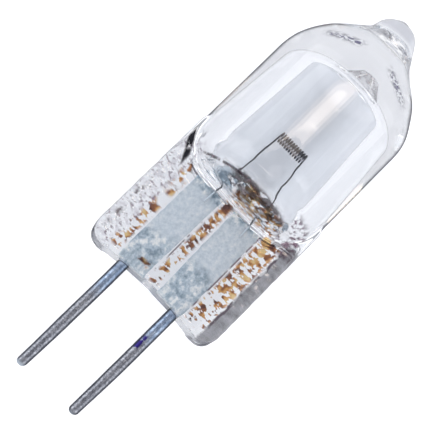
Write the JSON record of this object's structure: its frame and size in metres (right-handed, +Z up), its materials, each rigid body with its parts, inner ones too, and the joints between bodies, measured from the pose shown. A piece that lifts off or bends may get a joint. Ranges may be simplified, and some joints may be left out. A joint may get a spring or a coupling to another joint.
{
  "type": "projection lamp",
  "caption": "Clear quartz halogen capsule lamp with a drawn-off tip, a flat-wound filament, a pressed flat seal with metal foils, and straight contact pins.",
  "frame": {"origin": "on the ground under the middle of the lamp's length, where the lamp lies on the side of its bulb", "axes": "+X along the lamp from the pins to the tip, +Z up out of the flat face of the pinch, Y across the two pins"},
  "size_m": [0.031, 0.0096, 0.0094],
  "materials": {
    "quartz": "clear polished",
    "tungsten": "drawn wire",
    "foil": "matt",
    "pin": "mottled"
  },
  "bodies": {
    "root": {"envelope": "quartz", "filament": "tungsten", "foil_left": "foil", "foil_right": "foil", "pin_left": "pin", "pin_right": "pin"}
  },
  "joints": []
}
